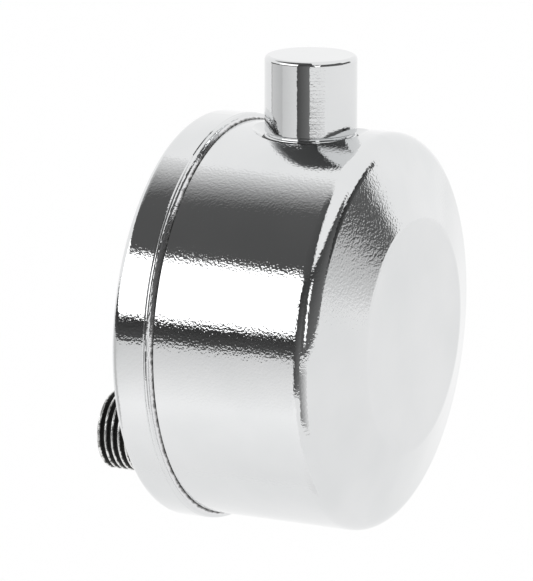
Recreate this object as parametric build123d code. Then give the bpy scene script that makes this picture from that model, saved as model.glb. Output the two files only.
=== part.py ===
"""Automatic air vent for a steam radiator, as separate parts, in millimetres.

+Z is up. The drum's axis runs along Y, with the closed front face towards -Y and the threaded
nipple towards +Y. The origin is on the nipple's axis, in the plane of the rear cover's outer face.
"""
from build123d import *
from math import atan2, cos, sin, tan
import os

# Drum
DRUM_Z = 16.7            # height of the drum's axis above the nipple's axis
SHEET = 0.8              # thickness of the pressed brass casing and cover
OVERCUT = 1.0            # how far a cutting solid passes the face it cuts
CASING_R = 24.7
CASING_REAR_Y = -SHEET   # the casing's open edge stands on the cover's inner face
SHOULDER_Y = -25.6       # where the side and the front cone would meet, before rounding
SHOULDER_FILLET = 2.5
FACE_R = 14.5
FACE_Y = -28.9
FACE_FILLET = 2.0
CONE_ANGLE = atan2(SHOULDER_Y - FACE_Y, CASING_R - FACE_R)

# Rear cover
RIM_R = 25.5
RIM_DEPTH = 5.1
RIM_REAR_FILLET = 1.1
LIP_WIDTH = 0.55         # rolled lip along the cover's front edge
LIP_GROOVE = 0.1
LIP_STEP = 0.02          # how far the lip's top lies below the rim
LIP_FILLET = 0.38
GROOVE_FILLET = 0.12
SKIRT_GAP = 0.05         # the skirt's clearance on the casing
SOLDER_WIDTH = 0.4
NIPPLE_SOLDER_WIDTH = 0.5
NECK_SOLDER_HEIGHT = 0.3

# Threaded nipple, 1/8-27 NPT
NIPPLE_R = 5.14
NIPPLE_HOLE_R = 4.9      # the nipple's waist, swaged in the cover's hole
NIPPLE_LENGTH = 12.9
BORE_R = 3.5
FLANGE_R = 6.6
FLANGE_THICK = 0.8
SHANK_LENGTH = 1.2       # plain wall next to the cover
THREAD_PITCH = 25.4 / 27
THREAD_TURNS = 12
THREAD_HEIGHT = 0.62
THREAD_TAPER = 1 / 16    # on the diameter
THREAD_RUNOUT = 0.2      # length of the half turn at the tip
THREAD_FORM = ((0.04, 0), (0.44, 1), (0.56, 1), (0.96, 0))  # (share of the pitch, share of the height)
CREST_R = NIPPLE_R - 0.04
BORE_CHAMFER = 0.4

# Drain of condensate
SIPHON_R = 0.9
SIPHON_WALL = 0.3
SIPHON_Z = -2.45
SIPHON_LEG_Y = -2.75
SIPHON_BEND = 1.7
SIPHON_FOOT_Z = -6.6
SIPHON_END_Y = 11.8
BAFFLE_HALF_WIDTH = 8.0
BAFFLE_LOW_Z = -4.4
BAFFLE_HIGH_Z = 8.0
BAFFLE_FRONT_Y = -4.2
BAFFLE_THICK = 0.4
BAFFLE_TAB_Z = 4.5       # middle of the tabs
BAFFLE_TAB_HEIGHT = 5.0

# Vent tower
TOWER_Y = -14.8
SEAT_FLAT_Z = DRUM_Z + 23.6    # flat of the dish pressed in the drum's top, under the tower
SEAT_FLAT_R = 6.0
SEAT_FLARE = 1.6         # how much wider the dish is at its brim
SEAT_DEPTH = 1.3
CAP_R = 5.7
CAP_WALL = 0.5
CAP_TOP_Z = DRUM_Z + 33.9
CAP_EDGE_FILLET = 0.55
NECK_FLANGE = 0.5        # thickness of the neck's outer flange
CAP_GROOVE = 0.3         # gap between the flange and the cap's lower edge
CAP_FOOT_Z = SEAT_FLAT_Z + NECK_FLANGE + CAP_GROOVE
NECK_R = 3.6
NECK_BORE_R = 2.2
NECK_TOP_Z = SEAT_FLAT_Z + 6.2
NECK_BOTTOM_Z = SEAT_FLAT_Z - 2.6
AIR_HOLE_R = 0.8
AIR_HOLE_Z = CAP_TOP_Z - 3.0
SPIGOT_HEIGHT = 2.2      # the neck's shoulder that the cap is pressed on
NECK_FILLETS = (0.12, 0.22, 0.3)   # flange edge, spigot foot, spigot edge
CAP_FOOT_FILLET = 0.15
CAP_INNER_FILLET = 0.2

# Port and needle
PORT_R = 0.8             # air port
PORT_THICK = 2.4
PORT_HEAD_R = 3.2
PORT_HEAD_THICK = 1.0
GASKET_THICK = 0.4
SPLASH_GAP = 0.5
SPLASH_THICK = 0.4
SPLASH_LEG = (0.6, 1.2)  # radial and tangential width
SPLASH_LEGS = 3
SEAT_CONE_R = 1.5
SEAT_CONE_DEPTH = 0.9
NEEDLE_R = 1.25
NEEDLE_TIP_R = 0.35
NEEDLE_CONE = 1.4        # length of the needle's cone
SEAT_GAP = 0.02          # left between needle and port when the vent is shut
GUIDE_GAP = 0.08
GUIDE_HEIGHT = 1.6
FLUTE = (0.7, 0.9)       # radial and tangential width
FLUTE_R = NEEDLE_R + 0.9
FLUTES = 4
NUT_R = 2.4              # over the hexagon's corners
NUT_HEIGHT = 1.2

# Float
FLOAT_R = 9.0
FLOAT_WALL = 0.4
FLOAT_BOTTOM_Z = DRUM_Z - 14.5
FLOAT_TOP_Z = DRUM_Z + 13.3
FLOAT_TRAVEL = 1.5
FLOAT_TOP_FILLET = 1.6
BOSS_R = 2.0
BOSS_HEIGHT = 1.8
POCKET_FLOOR = 0.2       # the needle's foot above the float's top
STUB_X = 5.0
STUB_R = 1.0
STUB_ABOVE = 1.0         # how far the stub stands above the float's top
STUB_BELOW = 0.9
STUB_TIP_R = 0.5
STUB_TIP_HEIGHT = 0.6
BASE_RING_INNER_R = 6.2
BASE_RING_THICK = 0.6
BASE_RING_HEIGHT = 2.6
BASE_RING_WALL = 0.5
DIAPHRAGM_THICK = 0.15
DIAPHRAGM_WAVE = 0.25
DIAPHRAGM_STEPS = (5.4, 4.8, 4.2, 3.7)  # radii of its corrugations
FOOT_R = 3.6
FOOT_THICK = 0.5
FOOT_STEM_R = 1.6
FOOT_STEM_LENGTH = 2.2
FOOT_FILLET = 0.15
FOOT_TIP_FILLET = 0.3
REST_R = 4.6
REST_WALL = 0.8
SOCKET_GAP = 0.1
DRAIN_WIDTH = 1.0
DRAIN_HEIGHT = 1.2
DRAIN_Z = 0.3            # middle of the drains below the cup's top
GUIDE_R = FLOAT_R + 0.45
BAND_THICK = 0.5
BAND_HEIGHT = 2.5
BAND_TOP_Z = DRUM_Z + 8.0
BAND_FOOT = 3.0          # length of the feet welded to the cover

DRUM_PLANE = Plane(origin=(0, 0, DRUM_Z), x_dir=(0, 0, 1), z_dir=(-1, 0, 0))
NIPPLE_PLANE = Plane(origin=(0, 0, 0), x_dir=(0, 0, 1), z_dir=(-1, 0, 0))
TOWER_PLANE = Plane(origin=(0, TOWER_Y, 0), x_dir=(1, 0, 0), z_dir=(0, -1, 0))
DRUM_AXIS = Axis((0, 0, DRUM_Z), (0, 1, 0))
NIPPLE_AXIS = Axis((0, 0, 0), (0, 1, 0))
TOWER_AXIS = Axis((0, TOWER_Y, 0), (0, 0, 1))


def turned(plane, axis, points, fillets=None):
    """Solid of revolution of a closed outline of (radius, position along the axis) points."""
    if fillets is None:
        outline = Polyline(*points, close=True)
    else:
        outline = FilletPolyline(*points, radius=fillets, close=True)
    return revolve(plane * make_face(outline), axis=axis)


def on_drum(points, fillets=None):
    return turned(DRUM_PLANE, DRUM_AXIS, points, fillets)


def on_nipple(points, fillets=None):
    return turned(NIPPLE_PLANE, NIPPLE_AXIS, points, fillets)


def on_tower(points, fillets=None):
    return turned(TOWER_PLANE, TOWER_AXIS, points, fillets)


def tower_disc(radius, low, high):
    return on_tower([(0, low), (radius, low), (radius, high), (0, high)])


def tower_tube(inner, outer, low, high):
    return on_tower([(inner, low), (outer, low), (outer, high), (inner, high)])


def drum_disc(radius, rear, front):
    return on_drum([(0, rear), (radius, rear), (radius, front), (0, front)])


def casing_form(inset, rear_y):
    """The drum's outer form, drawn in by inset on every side but the rear."""
    radius = CASING_R - inset
    shoulder_y = SHOULDER_Y + inset * (1 - sin(CONE_ANGLE)) / cos(CONE_ANGLE)
    face_r = FACE_R - inset * tan(CONE_ANGLE / 2)
    face_y = FACE_Y + inset
    points = [(0, rear_y), (radius, rear_y), (radius, shoulder_y), (face_r, face_y), (0, face_y)]
    return on_drum(points, [0, 0, SHOULDER_FILLET - inset, FACE_FILLET - inset, 0])


def dish_form(inset):
    """Space over the pressed dish, grown by inset towards the drum's inside."""
    floor = SEAT_FLAT_Z - inset
    brim = SEAT_FLAT_Z + SEAT_DEPTH
    return on_tower([(0, floor), (SEAT_FLAT_R + inset / 2, floor),
                     (SEAT_FLAT_R + SEAT_FLARE + inset, brim), (0, brim)])


def front_casing():
    """Deep-drawn cup with a dish pressed in its top, where the vent tower stands."""
    outside = casing_form(0, CASING_REAR_Y) - dish_form(0)
    inside = casing_form(SHEET, CASING_REAR_Y + OVERCUT) - dish_form(SHEET)
    return outside - inside - tower_disc(NECK_R, DRUM_Z, CAP_TOP_Z)


def rear_cover():
    """Shallow cap over the casing's open end, with a rolled lip along its front edge."""
    inner = CASING_R + SKIRT_GAP
    lip_y = -RIM_DEPTH + LIP_WIDTH
    points = [(0, 0), (RIM_R, 0), (RIM_R, lip_y + LIP_GROOVE), (RIM_R - LIP_GROOVE, lip_y),
              (RIM_R - LIP_STEP, lip_y - LIP_GROOVE), (RIM_R - LIP_STEP, -RIM_DEPTH),
              (inner, -RIM_DEPTH), (inner, -SHEET), (0, -SHEET)]
    fillets = [0, RIM_REAR_FILLET, 0, 0, GROOVE_FILLET, LIP_FILLET, 0, 0, 0]
    hole = on_nipple([(0, OVERCUT), (NIPPLE_HOLE_R, OVERCUT), (NIPPLE_HOLE_R, -SHEET - OVERCUT),
                      (0, -SHEET - OVERCUT)])
    return on_drum(points, fillets) - hole


def seam_solder():
    """Solder bead in the corner between the cover's lip and the casing."""
    lip = -RIM_DEPTH
    return on_drum([(CASING_R, lip), (CASING_R + SOLDER_WIDTH, lip), (CASING_R, lip - SOLDER_WIDTH)])


def thread_outline():
    """Crests and valleys of the tapered thread, as (radius, distance from the cover) points."""
    points = []
    for turn in range(THREAD_TURNS):
        start = SHANK_LENGTH + THREAD_PITCH * turn
        for share, height in THREAD_FORM:
            y = start + share * THREAD_PITCH
            crest = CREST_R - (y - SHANK_LENGTH) * THREAD_TAPER / 2
            points.append((crest - THREAD_HEIGHT * (1 - height), y))
    return points


def threaded_nipple():
    """Tapered pipe nipple with a flange that stands inside the cover."""
    inside = -SHEET - FLANGE_THICK
    thread = thread_outline()
    valley_r, valley_y = thread[-1]
    tip = NIPPLE_LENGTH
    return on_nipple([(BORE_R, inside), (FLANGE_R, inside), (FLANGE_R, -SHEET), (NIPPLE_HOLE_R, -SHEET),
                      (NIPPLE_HOLE_R, 0), (NIPPLE_R, 0), (NIPPLE_R, SHANK_LENGTH), *thread,
                      (valley_r + THREAD_HEIGHT / 2, valley_y + THREAD_RUNOUT), (valley_r, tip),
                      (BORE_R + BORE_CHAMFER, tip), (BORE_R, tip - BORE_CHAMFER)])


def nipple_solder():
    """Brazing fillet round the nipple's flange, inside the cover."""
    width = NIPPLE_SOLDER_WIDTH
    return on_nipple([(FLANGE_R, -SHEET), (FLANGE_R + width, -SHEET), (FLANGE_R, -SHEET - width)])


def siphon_tube():
    """Thin drain tube from the drum's floor, bent into the nipple's bore."""
    path = FilletPolyline((0, SIPHON_LEG_Y, SIPHON_FOOT_Z), (0, SIPHON_LEG_Y, SIPHON_Z),
                          (0, SIPHON_END_Y, SIPHON_Z), radius=SIPHON_BEND)
    start = Plane(origin=(0, SIPHON_LEG_Y, SIPHON_FOOT_Z), z_dir=(0, 0, 1))
    section = Circle(SIPHON_R) - Circle(SIPHON_R - SIPHON_WALL)
    return sweep(start * section, path=path)


def baffle_plate():
    """Bent plate in front of the nipple, with two tabs welded to the cover."""
    height = BAFFLE_HIGH_Z - BAFFLE_LOW_Z
    middle = Pos(0, BAFFLE_FRONT_Y + BAFFLE_THICK / 2, BAFFLE_LOW_Z + height / 2)
    plate = middle * Box(2 * BAFFLE_HALF_WIDTH, BAFFLE_THICK, height)
    tab_length = -SHEET - BAFFLE_FRONT_Y
    tab = Box(BAFFLE_THICK, tab_length, BAFFLE_TAB_HEIGHT)
    for side in (-1, 1):
        x = side * (BAFFLE_HALF_WIDTH - BAFFLE_THICK / 2)
        plate += Pos(x, BAFFLE_FRONT_Y + tab_length / 2, BAFFLE_TAB_Z) * tab
    return plate


def vent_neck():
    """Turned neck through the drum's top, which holds the port and carries the cap."""
    flange_top = SEAT_FLAT_Z + NECK_FLANGE
    spigot_top = flange_top + SPIGOT_HEIGHT
    flange_fillet, foot_fillet, edge_fillet = NECK_FILLETS
    return on_tower([(NECK_BORE_R, NECK_BOTTOM_Z), (NECK_R, NECK_BOTTOM_Z), (NECK_R, SEAT_FLAT_Z),
                     (CAP_R, SEAT_FLAT_Z), (CAP_R, flange_top), (CAP_R - CAP_WALL, flange_top),
                     (CAP_R - CAP_WALL, spigot_top), (NECK_R, spigot_top),
                     (NECK_R, NECK_TOP_Z), (NECK_BORE_R, NECK_TOP_Z)],
                    [0, 0, 0, flange_fillet, foot_fillet, 0, edge_fillet, 0, 0, 0])


def neck_solder():
    """Solder fillet on the pressed flat, round the neck's flange."""
    top = SEAT_FLAT_Z + NECK_SOLDER_HEIGHT
    return on_tower([(CAP_R, SEAT_FLAT_Z), (SEAT_FLAT_R, SEAT_FLAT_Z), (CAP_R, top)])


def vent_cap():
    """Plated cap pressed over the neck, with the air hole in its rear side."""
    inner = CAP_R - CAP_WALL
    cap = on_tower([(0, CAP_TOP_Z), (CAP_R, CAP_TOP_Z), (CAP_R, CAP_FOOT_Z), (inner, CAP_FOOT_Z),
                    (inner, CAP_TOP_Z - CAP_WALL), (0, CAP_TOP_Z - CAP_WALL)],
                   [0, CAP_EDGE_FILLET, CAP_FOOT_FILLET, 0, CAP_INNER_FILLET, 0])
    drill = Cylinder(AIR_HOLE_R, 2 * (CAP_WALL + OVERCUT))
    hole = Pos(0, TOWER_Y + CAP_R, AIR_HOLE_Z) * Rot(X=90) * drill
    return cap - hole


def port_bush():
    """Bush with the air port, seated on the neck, with a conical valve seat below."""
    head = NECK_TOP_Z + GASKET_THICK
    seat = NECK_TOP_Z - PORT_THICK
    return on_tower([(PORT_R, head + PORT_HEAD_THICK), (PORT_HEAD_R, head + PORT_HEAD_THICK),
                     (PORT_HEAD_R, head), (NECK_BORE_R, head), (NECK_BORE_R, seat),
                     (SEAT_CONE_R, seat), (PORT_R, seat + SEAT_CONE_DEPTH)])


def port_gasket():
    return tower_tube(NECK_BORE_R, PORT_HEAD_R, NECK_TOP_Z, NECK_TOP_Z + GASKET_THICK)


def splash_disc():
    """Slotted disc above the port that catches spitting water."""
    low = NECK_TOP_Z + GASKET_THICK + PORT_HEAD_THICK
    under = low + SPLASH_GAP
    disc = tower_disc(PORT_HEAD_R, under, under + SPLASH_THICK)
    for turn in range(SPLASH_LEGS):
        leg = Pos(PORT_HEAD_R - SPLASH_GAP, 0, low + SPLASH_GAP / 2) * Box(*SPLASH_LEG, SPLASH_GAP)
        disc += Pos(0, TOWER_Y, 0) * Rot(Z=90 + 360 / SPLASH_LEGS * turn) * leg
    return disc


def seat_z():
    """Height at which the needle's cone would meet the valve seat."""
    return NECK_TOP_Z - PORT_THICK


def needle_guide():
    """Fluted bush under the port that keeps the needle central and lets air past."""
    low = NECK_BOTTOM_Z
    high = low + GUIDE_HEIGHT
    bush = tower_tube(NEEDLE_R + GUIDE_GAP, NECK_BORE_R, low, high)
    for turn in range(FLUTES):
        flute = Pos(FLUTE_R, 0, (low + high) / 2) * Box(*FLUTE, GUIDE_HEIGHT + 2 * OVERCUT)
        bush -= Pos(0, TOWER_Y, 0) * Rot(Z=45 + 360 / FLUTES * turn) * flute
    return bush


def needle_valve():
    """Valve needle standing in the float's boss; its cone closes the port when the float is up."""
    entry = (PORT_R - SEAT_GAP - NEEDLE_TIP_R) * NEEDLE_CONE / (NEEDLE_R - NEEDLE_TIP_R)
    closed_tip = seat_z() + SEAT_CONE_DEPTH + entry
    tip = closed_tip - FLOAT_TRAVEL
    shoulder = tip - NEEDLE_CONE
    low = FLOAT_TOP_Z + POCKET_FLOOR
    return on_tower([(0, low), (NEEDLE_R, low), (NEEDLE_R, shoulder), (NEEDLE_TIP_R, tip), (0, tip)])


def needle_boss_top():
    return FLOAT_TOP_Z + BOSS_HEIGHT


def needle_lock_nut():
    """Hexagonal lock nut on the needle, above the float's boss."""
    outline = Plane(origin=(0, TOWER_Y, needle_boss_top())) * RegularPolygon(NUT_R, 6)
    hexagon = extrude(outline, NUT_HEIGHT)
    return hexagon - tower_disc(NEEDLE_R, 0, CAP_TOP_Z)


def float_shell():
    """Thin closed-top can, with a boss for the needle and a hole for the charging stub."""
    inner = FLOAT_R - FLOAT_WALL
    can = on_tower([(0, FLOAT_BOTTOM_Z), (FLOAT_R, FLOAT_BOTTOM_Z), (FLOAT_R, FLOAT_TOP_Z),
                    (0, FLOAT_TOP_Z)], [0, 0, FLOAT_TOP_FILLET, 0])
    hollow = on_tower([(0, FLOAT_BOTTOM_Z - OVERCUT), (inner, FLOAT_BOTTOM_Z - OVERCUT),
                       (inner, FLOAT_TOP_Z - FLOAT_WALL), (0, FLOAT_TOP_Z - FLOAT_WALL)],
                      [0, 0, FLOAT_TOP_FILLET - FLOAT_WALL, 0])
    boss = tower_disc(BOSS_R, FLOAT_TOP_Z - FLOAT_WALL, needle_boss_top())
    pocket = tower_disc(NEEDLE_R, FLOAT_TOP_Z + POCKET_FLOOR, CAP_TOP_Z)
    stub_hole = charge_stub(FLOAT_TOP_Z - 2 * OVERCUT, FLOAT_TOP_Z + OVERCUT)
    return can - hollow + boss - pocket - stub_hole


def charge_stub(low, high):
    return Pos(STUB_X, TOWER_Y, (low + high) / 2) * Cylinder(STUB_R, high - low)


def float_charge_plug():
    """Short stub through the float's top, soldered shut after the float is charged."""
    top = FLOAT_TOP_Z + STUB_ABOVE
    stub = charge_stub(FLOAT_TOP_Z - STUB_BELOW, top)
    standing = (Align.CENTER, Align.CENTER, Align.MIN)
    return stub + Pos(STUB_X, TOWER_Y, top) * Cone(STUB_R, STUB_TIP_R, STUB_TIP_HEIGHT, align=standing)


def float_base_ring():
    """Ring inside the can's lower end, on which the diaphragm lies."""
    outer = FLOAT_R - FLOAT_WALL
    wall_r = outer - BASE_RING_WALL
    low = FLOAT_BOTTOM_Z
    return on_tower([(BASE_RING_INNER_R, low), (outer, low), (outer, low + BASE_RING_HEIGHT),
                     (wall_r, low + BASE_RING_HEIGHT), (wall_r, low + BASE_RING_THICK),
                     (BASE_RING_INNER_R, low + BASE_RING_THICK)])


def float_diaphragm():
    """Corrugated disc that closes the float's lower end and bulges when the charge boils."""
    low = FLOAT_BOTTOM_Z + BASE_RING_THICK
    outer = FLOAT_R - FLOAT_WALL - BASE_RING_WALL
    corrugations = [(r, DIAPHRAGM_WAVE * (1 - place % 2)) for place, r in enumerate(DIAPHRAGM_STEPS)]
    steps = [(outer, 0), (BASE_RING_INNER_R - DIAPHRAGM_WAVE, 0), *corrugations, (0, 0)]
    lower = [(r, low + z) for r, z in steps]
    upper = [(r, z + DIAPHRAGM_THICK) for r, z in reversed(lower)]
    return on_tower(lower + upper)


def diaphragm_foot():
    """Thrust foot under the diaphragm, which stands on the rest."""
    top = FLOAT_BOTTOM_Z + BASE_RING_THICK
    low = top - FOOT_THICK
    stem = low - FOOT_STEM_LENGTH
    return on_tower([(0, top), (FOOT_R, top), (FOOT_R, low), (FOOT_STEM_R, low),
                     (FOOT_STEM_R, stem), (0, stem)], [0, FOOT_FILLET, 0, 0, FOOT_TIP_FILLET, 0])


def rest_top_z():
    return FLOAT_BOTTOM_Z + BASE_RING_THICK - FOOT_THICK - FOOT_STEM_LENGTH


def float_rest():
    """Cup soldered to the drum's floor; the thrust foot stands in its socket."""
    low = DRUM_Z - CASING_R
    top = rest_top_z() + REST_WALL
    inside = drum_disc(CASING_R - SHEET, -OVERCUT, SHOULDER_Y + SHOULDER_FILLET)
    cup = tower_disc(REST_R, low, top) & inside
    cup -= tower_disc(FOOT_STEM_R + SOCKET_GAP, rest_top_z(), top + OVERCUT)
    for turn in range(2):
        drain = Rot(Z=90 * turn) * Box(2 * (REST_R + OVERCUT), DRAIN_WIDTH, DRAIN_HEIGHT)
        cup -= Pos(0, TOWER_Y, top - DRAIN_Z) * drain
    return cup - tower_disc(REST_R - REST_WALL, low - OVERCUT, rest_top_z() - REST_WALL)


def float_guide():
    """Band round the float on two arms, which keeps it upright under the port."""
    high = BAND_TOP_Z
    low = high - BAND_HEIGHT
    outer = GUIDE_R + BAND_THICK
    band = tower_tube(GUIDE_R, outer, low, high)
    arm_length = -SHEET - TOWER_Y
    middle = (low + high) / 2
    arm = Box(BAND_THICK, arm_length, BAND_HEIGHT)
    foot = Box(BAND_FOOT, BAND_THICK, BAND_HEIGHT)
    for side in (-1, 1):
        x = side * (outer - BAND_THICK / 2)
        band += Pos(x, TOWER_Y + arm_length / 2, middle) * arm
        band += Pos(x + side * BAND_FOOT / 2, -SHEET - BAND_THICK / 2, middle) * foot
    return band - tower_disc(GUIDE_R, 0, CAP_TOP_Z)


PARTS = [
    front_casing, rear_cover, seam_solder, threaded_nipple, nipple_solder, siphon_tube,
    baffle_plate, vent_neck, neck_solder, vent_cap, port_bush, port_gasket, splash_disc,
    needle_guide, needle_valve, needle_lock_nut, float_shell, float_charge_plug, float_base_ring,
    float_diaphragm, diaphragm_foot, float_rest, float_guide,
]

os.makedirs("parts", exist_ok=True)
for make in PARTS:
    export_step(make(), f"parts/{make.__name__}.step")
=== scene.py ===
"""Looks for the automatic air vent: plated drum, cover and cap, dull threaded nipple, brass inside."""
import math

import bmesh
import bpy
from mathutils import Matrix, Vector


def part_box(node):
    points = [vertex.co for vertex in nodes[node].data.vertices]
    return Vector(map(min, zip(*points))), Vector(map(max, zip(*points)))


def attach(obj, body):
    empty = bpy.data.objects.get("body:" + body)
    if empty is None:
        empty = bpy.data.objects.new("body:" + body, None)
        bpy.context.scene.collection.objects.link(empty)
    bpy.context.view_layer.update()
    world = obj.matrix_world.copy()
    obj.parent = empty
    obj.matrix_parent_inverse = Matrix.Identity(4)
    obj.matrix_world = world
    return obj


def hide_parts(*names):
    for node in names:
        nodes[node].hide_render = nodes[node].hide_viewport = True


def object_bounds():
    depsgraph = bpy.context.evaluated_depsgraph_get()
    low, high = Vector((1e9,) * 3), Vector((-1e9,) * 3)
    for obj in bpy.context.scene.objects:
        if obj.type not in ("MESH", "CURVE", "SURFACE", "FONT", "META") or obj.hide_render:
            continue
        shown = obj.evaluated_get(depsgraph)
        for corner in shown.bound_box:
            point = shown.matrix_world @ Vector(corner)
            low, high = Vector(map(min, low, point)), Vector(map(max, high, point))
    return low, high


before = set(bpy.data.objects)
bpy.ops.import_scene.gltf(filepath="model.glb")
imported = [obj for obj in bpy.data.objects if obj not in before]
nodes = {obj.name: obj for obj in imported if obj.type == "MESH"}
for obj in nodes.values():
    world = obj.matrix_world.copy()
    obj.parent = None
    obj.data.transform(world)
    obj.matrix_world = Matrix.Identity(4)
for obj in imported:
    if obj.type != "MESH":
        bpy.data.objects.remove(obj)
cad_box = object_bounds()

MM = 0.001

# Places taken from the frame
casing_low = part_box("front_casing")[0]
cover_low, cover_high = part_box("rear_cover")
nipple_low, nipple_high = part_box("threaded_nipple")
seam_low, seam_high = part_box("seam_solder")
RIM_R = (cover_high.x - cover_low.x) / 2
DRUM_CENTRE_Z = (cover_high.z + cover_low.z) / 2
FACE_Y = casing_low.y

# Threaded nipple, 1/8-27 NPT
SHEET = 0.8 * MM
BORE_R = 3.5 * MM
BORE_CHAMFER = 0.4 * MM
FLANGE_R = nipple_high.x
WAIST_R = 4.9 * MM
SHANK_R = 5.14 * MM
SHANK_LENGTH = 1.2 * MM
CREST_R = SHANK_R
END_R = 4.3 * MM           # over the plain tip
TIP_LENGTH = 0.2 * MM
THREAD_LENGTH = nipple_high.y - SHANK_LENGTH - TIP_LENGTH
THREAD_PITCH = 25.4 / 27 * MM
THREAD_HEIGHT = 0.62 * MM
THREAD_TAPER = 1 / 100     # of the radius
THREAD_STEP = 0.0588 * MM  # 16 rings of points to the pitch
THREAD_SIDES = 96
THREAD_SHARP_EDGE = 50     # degrees

# Plate: noise scales in 1/m, depths in m
WAVE_SCALE = 160
WAVE_DEPTH = 0.1 * MM
PATCH_SCALE = 90
GRAIN_DEPTH = 0.02 * MM
SCRATCH_SCALES = (8, 8, 4500)
SCRATCH_DEPTH = 0.01 * MM
# Other metals and fibre
FINE_DEPTH = 0.02 * MM
BEAD_SCALE = 1500
BEAD_DEPTH = 0.05 * MM
SEAM_SHADE_WANDER = 0.08 * MM    # how far the painted shade's edge strays along the seam
# scale and depth of the wandering edge between the thread's dark valleys and bright crests
THREAD_TONE_SCALE = 1800
THREAD_TONE_WANDER = 0.12 * MM
STRAND_SCALE = 2400
STRAND_DEPTH = 0.05 * MM

# Camera: the view's direction, and distance and aim in rim radii
CAMERA_AZIMUTH = -64.5
CAMERA_ELEVATION = 13.4
CAMERA_DISTANCE = 20.0
CAMERA_AIM_Y = -0.55
CAMERA_AIM_RIGHT = -0.186
CAMERA_AIM_UP = 0.158
FOCAL_PIXELS = 4104
IMAGE_LONG_SIDE = 581
SENSOR = 36.0

# Studio
FLOOR_DEPTH = 1.4
FLOOR_HALF = 15.0
FLOOR_WHITE = (0.95, 0.95, 0.95, 1)
FLOOR_ROUGHNESS = 0.9
WORLD_STRENGTH = 1.05
SCREEN_DISTANCE = 1.2
SCREEN_STEP_IN = 0.01      # each screen stands this much nearer than the one before
SCREEN_STEPS = 24
NEAR_CLIP, FAR_CLIP = 0.01, 50


# ---------------------------------------------------------------- node helpers

def new_material(name):
    material = bpy.data.materials.new(name)
    material.use_nodes = True
    tree = material.node_tree
    tree.nodes.clear()
    output = tree.nodes.new("ShaderNodeOutputMaterial")
    shader = tree.nodes.new("ShaderNodeBsdfPrincipled")
    tree.links.new(shader.outputs["BSDF"], output.inputs["Surface"])
    return material, tree, shader


def add(tree, kind, **inputs):
    """Adds a node and sets its inputs; a value that is a socket is linked."""
    node = tree.nodes.new(kind)
    for name, value in inputs.items():
        socket = node.inputs[name.replace("_", " ")]
        if isinstance(value, bpy.types.NodeSocket):
            tree.links.new(value, socket)
        else:
            socket.default_value = value
    return node


def position(tree, scale=(1, 1, 1)):
    coordinates = tree.nodes.new("ShaderNodeTexCoord")
    mapping = add(tree, "ShaderNodeMapping", Vector=coordinates.outputs["Object"], Scale=scale)
    return mapping.outputs["Vector"]


def noise(tree, vector, scale, detail=3.0, roughness=0.5):
    node = add(tree, "ShaderNodeTexNoise", Vector=vector, Scale=scale, Detail=detail, Roughness=roughness)
    return node.outputs["Fac"]


def remap(tree, value, low, high, to_low, to_high):
    node = tree.nodes.new("ShaderNodeMapRange")
    tree.links.new(value, node.inputs["Value"])
    for name, number in (("From Min", low), ("From Max", high), ("To Min", to_low), ("To Max", to_high)):
        node.inputs[name].default_value = number
    return node.outputs["Result"]


def ramp(tree, value, stops):
    node = tree.nodes.new("ShaderNodeValToRGB")
    tree.links.new(value, node.inputs["Fac"])
    elements = node.color_ramp.elements
    while len(elements) < len(stops):
        elements.new(0.5)
    for element, (place, colour) in zip(elements, stops):
        element.position = place
        element.color = (*colour, 1)
    return node.outputs["Color"]


def bump(tree, height, strength, distance, below=None):
    node = add(tree, "ShaderNodeBump", Height=height, Strength=strength, Distance=distance)
    if below is not None:
        tree.links.new(below, node.inputs["Normal"])
    return node.outputs["Normal"]


def maths(tree, operation, first, second):
    node = tree.nodes.new("ShaderNodeMath")
    node.operation = operation
    for socket, value in zip(node.inputs, (first, second)):
        if isinstance(value, bpy.types.NodeSocket):
            tree.links.new(value, socket)
        else:
            socket.default_value = value
    return node.outputs["Value"]


def split_axes(tree, vector):
    node = add(tree, "ShaderNodeSeparateXYZ", Vector=vector)
    return node.outputs["X"], node.outputs["Y"], node.outputs["Z"]


def finish_metal(tree, shader, colour, roughness, normal):
    shader.inputs["Metallic"].default_value = 1.0
    tree.links.new(colour, shader.inputs["Base Color"])
    tree.links.new(roughness, shader.inputs["Roughness"])
    tree.links.new(normal, shader.inputs["Normal"])


# ---------------------------------------------------------------- materials

def plated(name, grain, grain_scale, wave, scratch=0.0):
    """Bright plate: a fine grain, a slow waviness from the polishing, and faint turned scratches."""
    material, tree, shader = new_material(name)
    place = position(tree)
    fine = noise(tree, place, grain_scale, 1.0, 0.6)
    slow = noise(tree, place, WAVE_SCALE, 1.0)
    patches = noise(tree, place, PATCH_SCALE, 3.0)
    normal = bump(tree, slow, wave, WAVE_DEPTH)
    normal = bump(tree, fine, grain, GRAIN_DEPTH, normal)
    if scratch:
        lines = noise(tree, position(tree, SCRATCH_SCALES), 1.0, 2.0, 0.7)
        normal = bump(tree, lines, scratch, SCRATCH_DEPTH, normal)
    tint = ramp(tree, patches, [(0.3, (0.70, 0.71, 0.715)), (0.7, (0.75, 0.755, 0.76))])
    finish_metal(tree, shader, tint, remap(tree, patches, 0.3, 0.7, 0.03, 0.07), normal)
    return material


def dull_metal(name, dark, light, rough, scale=900):
    """Unpolished metal with mottled tarnish and a fine rough grain."""
    material, tree, shader = new_material(name)
    place = position(tree)
    mottle = noise(tree, place, scale, 4.0, 0.6)
    fine = noise(tree, place, scale * 8, 2.0)
    colour = ramp(tree, mottle, [(0.3, dark), (0.7, light)])
    roughness = remap(tree, mottle, 0.3, 0.7, rough + 0.08, rough - 0.08)
    finish_metal(tree, shader, colour, roughness, bump(tree, fine, 0.35, FINE_DEPTH))
    return material


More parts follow.
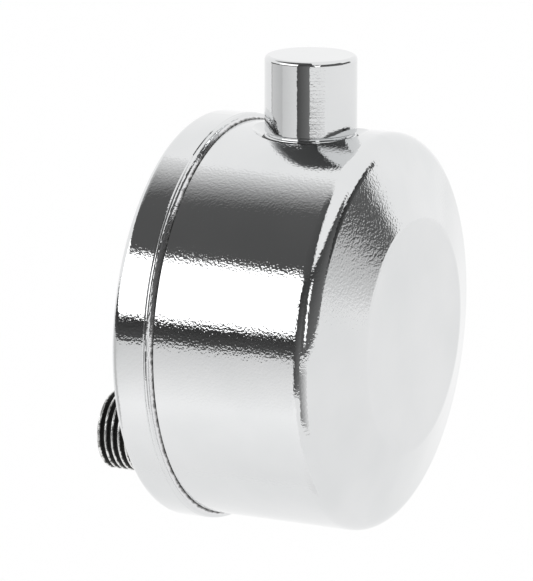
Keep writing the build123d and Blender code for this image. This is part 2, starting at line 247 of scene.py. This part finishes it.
def soldered_seam(name):
    """Plated solder bead, bright by the cover's lip, with painted shade darkening it to near black
    towards the casing.
    """
    material, tree, shader = new_material(name)
    place = position(tree)
    along = split_axes(tree, place)[1]
    beads = noise(tree, place, BEAD_SCALE, 2.0, 0.6)
    wander = maths(tree, "MULTIPLY", remap(tree, beads, 0.3, 0.7, -1, 1), SEAM_SHADE_WANDER)
    # share of the way from the lip to the casing, with a wandering edge: the mask of the painted shade
    depth = remap(tree, maths(tree, "ADD", along, wander), seam_high.y, seam_low.y, 0, 1)
    # painted shade: the plate's grey by the lip darkens to near black against the casing, as in a
    # shadowed corner
    colour = ramp(tree, depth, [(0.35, (0.74, 0.74, 0.75)), (0.6, (0.30, 0.30, 0.30)),
                                (0.9, (0.05, 0.05, 0.05))])
    roughness = remap(tree, depth, 0.3, 0.9, 0.08, 0.45)
    finish_metal(tree, shader, colour, roughness, bump(tree, beads, 0.8, BEAD_DEPTH))
    return material


def radius_toned_thread(name):
    """Plated thread, its colour near black in the valleys and bright on the crests, set by the radius."""
    material, tree, shader = new_material(name)
    place = position(tree)
    x, _, z = split_axes(tree, place)
    squares = maths(tree, "ADD", maths(tree, "POWER", x, 2.0), maths(tree, "POWER", z, 2.0))
    radius = maths(tree, "SQRT", squares, 0.0)
    # noise that wobbles the edge between the dark valleys and the bright crests
    mottle = noise(tree, place, THREAD_TONE_SCALE, 4.0, 0.7)
    tone_wander = maths(tree, "MULTIPLY", remap(tree, mottle, 0.3, 0.7, -1, 1), THREAD_TONE_WANDER)
    height = maths(tree, "ADD", radius, tone_wander)
    crest = remap(tree, height, CREST_R - 0.45 * THREAD_HEIGHT, CREST_R - THREAD_TONE_WANDER, 0, 1)
    # colour by height on the thread: near black in the valleys, bright on the crests
    colour = ramp(tree, crest, [(0.1, (0.07, 0.07, 0.068)), (0.5, (0.26, 0.26, 0.25)),
                                (0.9, (0.82, 0.82, 0.81))])
    roughness = remap(tree, crest, 0.0, 1.0, 0.62, 0.24)
    finish_metal(tree, shader, colour, roughness, bump(tree, mottle, 0.5, FINE_DEPTH))
    return material


def fibre(name):
    """Pressed fibre of the gasket."""
    material, tree, shader = new_material(name)
    place = position(tree)
    strands = noise(tree, place, STRAND_SCALE, 4.0, 0.7)
    colour = ramp(tree, strands, [(0.3, (0.13, 0.07, 0.05)), (0.7, (0.30, 0.19, 0.13))])
    tree.links.new(colour, shader.inputs["Base Color"])
    tree.links.new(remap(tree, strands, 0.3, 0.7, 0.75, 0.9), shader.inputs["Roughness"])
    tree.links.new(bump(tree, strands, 0.5, STRAND_DEPTH), shader.inputs["Normal"])
    return material


def dress(node, material):
    slots = nodes[node].data.materials
    slots.clear()
    slots.append(material)


MATERIALS = {
    "plate_drum": plated("plate_drum", 0.8, 3300, 0.12),
    "plate_cover": plated("plate_cover", 0.65, 3000, 0.6),
    "plate_cap": plated("plate_cap", 0.2, 3300, 0.05, 0.4),
    "plated_solder": soldered_seam("plated_solder"),
    "solder": dull_metal("solder", (0.40, 0.41, 0.42), (0.62, 0.63, 0.64), 0.28),
    "thread": radius_toned_thread("thread"),
    "brass": dull_metal("brass", (0.42, 0.27, 0.10), (0.72, 0.55, 0.27), 0.30),
    "steel": dull_metal("steel", (0.45, 0.45, 0.46), (0.66, 0.66, 0.67), 0.22),
    "bronze": dull_metal("bronze", (0.40, 0.21, 0.10), (0.66, 0.42, 0.24), 0.30),
    "fibre": fibre("fibre"),
}
DRESSED = {
    "plate_drum": ["front_casing"],
    "plate_cover": ["rear_cover"],
    "plate_cap": ["vent_cap", "vent_neck"],
    "plated_solder": ["seam_solder", "neck_solder"],
    "solder": ["nipple_solder", "float_charge_plug"],
    "thread": ["threaded_nipple"],
    "brass": ["siphon_tube", "baffle_plate", "port_bush", "splash_disc", "needle_guide",
              "needle_lock_nut", "float_shell", "float_base_ring", "float_rest", "float_guide"],
    "steel": ["needle_valve", "diaphragm_foot"],
    "bronze": ["float_diaphragm"],
    "fibre": ["port_gasket"],
}
for material_name, dressed_nodes in DRESSED.items():
    for dressed_node in dressed_nodes:
        dress(dressed_node, MATERIALS[material_name])


# ---------------------------------------------------------------- thread

def thread_profile(share):
    """Height of the thread, 0 to 1, at a share of its pitch: a V with a rounded crest and root."""
    return 0.5 - 0.5 * math.cos(2 * math.pi * share) * (1.12 - 0.12 * math.cos(4 * math.pi * share))


def thread_radius(travelled, turn):
    """Radius of the thread at a distance past the shank and a share of a turn."""
    depth = THREAD_HEIGHT * (1 - thread_profile((travelled / THREAD_PITCH + turn) % 1))
    run_in = min(1, travelled / THREAD_PITCH, (THREAD_LENGTH - travelled) / THREAD_PITCH + 0.5)
    return CREST_R - travelled * THREAD_TAPER - depth * run_in


def nipple_rings():
    """The nipple's outline as (radius, y, threaded) rings, round from the bore's inner end."""
    steps = int(THREAD_LENGTH / THREAD_STEP)
    shank = [(BORE_R, nipple_low.y), (FLANGE_R, nipple_low.y), (FLANGE_R, -SHEET), (WAIST_R, -SHEET),
             (WAIST_R, 0.0), (SHANK_R, 0.0), (SHANK_R, SHANK_LENGTH)]
    thread = [(CREST_R, SHANK_LENGTH + THREAD_LENGTH * step / steps) for step in range(1, steps + 1)]
    tip = [(END_R, nipple_high.y), (BORE_R + BORE_CHAMFER, nipple_high.y),
           (BORE_R, nipple_high.y - BORE_CHAMFER)]
    return [(*ring, part is thread) for part in (shank, thread, tip) for ring in part]


def make_thread():
    """Nipple with a helical thread, closed by its bore, in place of the plain rings."""
    bm = bmesh.new()
    rows = []
    for radius, y, threaded in nipple_rings():
        row = []
        for side in range(THREAD_SIDES):
            turn = side / THREAD_SIDES
            r = thread_radius(y - SHANK_LENGTH, turn) if threaded else radius
            angle = 2 * math.pi * turn
            row.append(bm.verts.new((r * math.cos(angle), y, r * math.sin(angle))))
        rows.append(row)
    for low, high in zip(rows, rows[1:] + rows[:1]):
        for side in range(THREAD_SIDES):
            after = (side + 1) % THREAD_SIDES
            bm.faces.new((low[side], low[after], high[after], high[side]))
    bmesh.ops.recalc_face_normals(bm, faces=bm.faces)
    mesh = bpy.data.meshes.new("nipple_thread")
    bm.to_mesh(mesh)
    bm.free()
    mesh.materials.append(MATERIALS["thread"])
    for polygon in mesh.polygons:
        polygon.use_smooth = True
    mesh.set_sharp_from_angle(angle=math.radians(THREAD_SHARP_EDGE))
    piece = bpy.data.objects.new("nipple_thread", mesh)
    bpy.context.scene.collection.objects.link(piece)
    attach(piece, "root")
    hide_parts("threaded_nipple")


# ---------------------------------------------------------------- stage

def direction(azimuth, elevation):
    a, e = math.radians(azimuth), math.radians(elevation)
    return Vector((math.sin(a) * math.cos(e), -math.cos(a) * math.cos(e), math.sin(e)))


def make_camera():
    back = direction(CAMERA_AZIMUTH, CAMERA_ELEVATION)
    right = Vector((math.cos(math.radians(CAMERA_AZIMUTH)), math.sin(math.radians(CAMERA_AZIMUTH)), 0))
    up = back.cross(right)
    centre = Vector((0, CAMERA_AIM_Y * RIM_R, DRUM_CENTRE_Z))
    place = centre + (back * CAMERA_DISTANCE + right * CAMERA_AIM_RIGHT + up * CAMERA_AIM_UP) * RIM_R
    data = bpy.data.cameras.new("camera")
    data.sensor_fit = "AUTO"
    data.sensor_width = SENSOR
    data.lens = FOCAL_PIXELS * SENSOR / IMAGE_LONG_SIDE
    data.clip_start, data.clip_end = NEAR_CLIP, FAR_CLIP
    camera = bpy.data.objects.new("camera", data)
    camera.location = place
    camera.rotation_mode = "QUATERNION"
    camera.rotation_quaternion = (-back).to_track_quat("-Z", "Y")
    bpy.context.scene.collection.objects.link(camera)
    bpy.context.scene.camera = camera


def make_floor():
    """A plain white floor well below the vent, which hangs clear of it as it does on its radiator."""
    mesh = bpy.data.meshes.new("floor")
    z = cad_box[0].z - FLOOR_DEPTH
    corners = [(-FLOOR_HALF, -FLOOR_HALF, z), (FLOOR_HALF, -FLOOR_HALF, z),
               (FLOOR_HALF, FLOOR_HALF, z), (-FLOOR_HALF, FLOOR_HALF, z)]
    mesh.from_pydata(corners, [], [(0, 1, 2, 3)])
    floor = bpy.data.objects.new("floor", mesh)
    bpy.context.scene.collection.objects.link(floor)
    material, tree, shader = new_material("floor")
    shader.inputs["Base Color"].default_value = FLOOR_WHITE
    shader.inputs["Roughness"].default_value = FLOOR_ROUGHNESS
    mesh.materials.append(material)


def glow_material():
    """Emission whose strength is stored in the screen's own points."""
    material = bpy.data.materials.new("screen_glow")
    material.use_nodes = True
    tree = material.node_tree
    tree.nodes.clear()
    output = tree.nodes.new("ShaderNodeOutputMaterial")
    attribute = tree.nodes.new("ShaderNodeAttribute")
    attribute.attribute_name = "glow"
    emission = add(tree, "ShaderNodeEmission", Strength=attribute.outputs["Fac"])
    tree.links.new(emission.outputs["Emission"], output.inputs["Surface"])
    return material


def make_screen(name, azimuths, elevations, glow, distance):
    """A studio screen on a sphere about the drum: glow is its strength at low left, low right,
    high left and high right. Only reflections see it."""
    centre = Vector((0, FACE_Y / 2, DRUM_CENTRE_Z))
    vertices, strengths, faces = [], [], []
    for row in range(SCREEN_STEPS + 1):
        v = row / SCREEN_STEPS
        elevation = elevations[0] + (elevations[1] - elevations[0]) * v
        for column in range(SCREEN_STEPS + 1):
            u = column / SCREEN_STEPS
            azimuth = azimuths[0] + (azimuths[1] - azimuths[0]) * u
            vertices.append(centre + direction(azimuth, elevation) * distance)
            low = glow[0] + (glow[1] - glow[0]) * u
            high = glow[2] + (glow[3] - glow[2]) * u
            strengths.append(low + (high - low) * v)
    width = SCREEN_STEPS + 1
    for row in range(SCREEN_STEPS):
        for column in range(SCREEN_STEPS):
            first = row * width + column
            faces.append((first, first + 1, first + 1 + width, first + width))
    mesh = bpy.data.meshes.new(name)
    mesh.from_pydata(vertices, [], faces)
    mesh.attributes.new("glow", "FLOAT", "POINT").data.foreach_set("value", strengths)
    mesh.materials.append(SCREEN_GLOW)
    screen = bpy.data.objects.new(name, mesh)
    bpy.context.scene.collection.objects.link(screen)
    screen.visible_camera = False
    screen.visible_diffuse = False
    screen.visible_shadow = False


def make_world():
    world = bpy.data.worlds.new("studio")
    bpy.context.scene.world = world
    world.use_nodes = True
    background = world.node_tree.nodes["Background"]
    background.inputs["Color"].default_value = (1, 1, 1, 1)
    background.inputs["Strength"].default_value = WORLD_STRENGTH


SCREEN_GLOW = glow_material()
SCREENS = {
    "key_softbox": ((-150, -97), (7, 37), (2.2, 2.2, 2.2, 2.2)),
    "ceiling": ((-159, -60), (38, 88), (0.11, 0.08, 0.11, 0.08)),
    "ceiling_fade": ((-180, -159), (38, 88), (0.36, 0.10, 0.36, 0.10)),
    "ceiling_end": ((150, 180), (38, 88), (0.95, 0.36, 0.95, 0.36)),
    "horizon_left": ((-180, -97), (-5, 7), (0.10, 0.09, 0.03, 0.03)),
    "floor_near": ((-180, -97), (-36, -5), (1.06, 1.16, 0.5, 0.86)),
    "floor_low": ((-180, -97), (-88, -36), (0.93, 0.93, 1.06, 1.16)),
    "camera_side": ((-100, -68), (-24, 38), (0.09, 0.24, 0.04, 0.06)),
    "right_low": ((-70, -30), (-40, -10), (0.24, 0.84, 0.24, 0.84)),
    "room_right": ((-68, 24), (-5, 40), (0.12, 0.20, 0.05, 0.08)),
    "room_window": ((-52, -42), (2, 30), (1.6, 1.6, 1.6, 1.6)),
    "stand": ((-176, -140), (-40, -7), (0.75, 0.62, 0.75, 0.62)),
    "room_front": ((20, 50), (4, 24), (0.05, 0.16, 0.02, 0.04)),
    "room_front_fade": ((20, 50), (-4, 4), (0.92, 0.95, 0.35, 0.7)),
}
for place_in_row, (screen_name, (azimuths, elevations, glow)) in enumerate(SCREENS.items()):
    make_screen(screen_name, azimuths, elevations, glow, SCREEN_DISTANCE - place_in_row * SCREEN_STEP_IN)
make_thread()
make_camera()
make_floor()
make_world()
bpy.context.scene.view_settings.view_transform = "Standard"
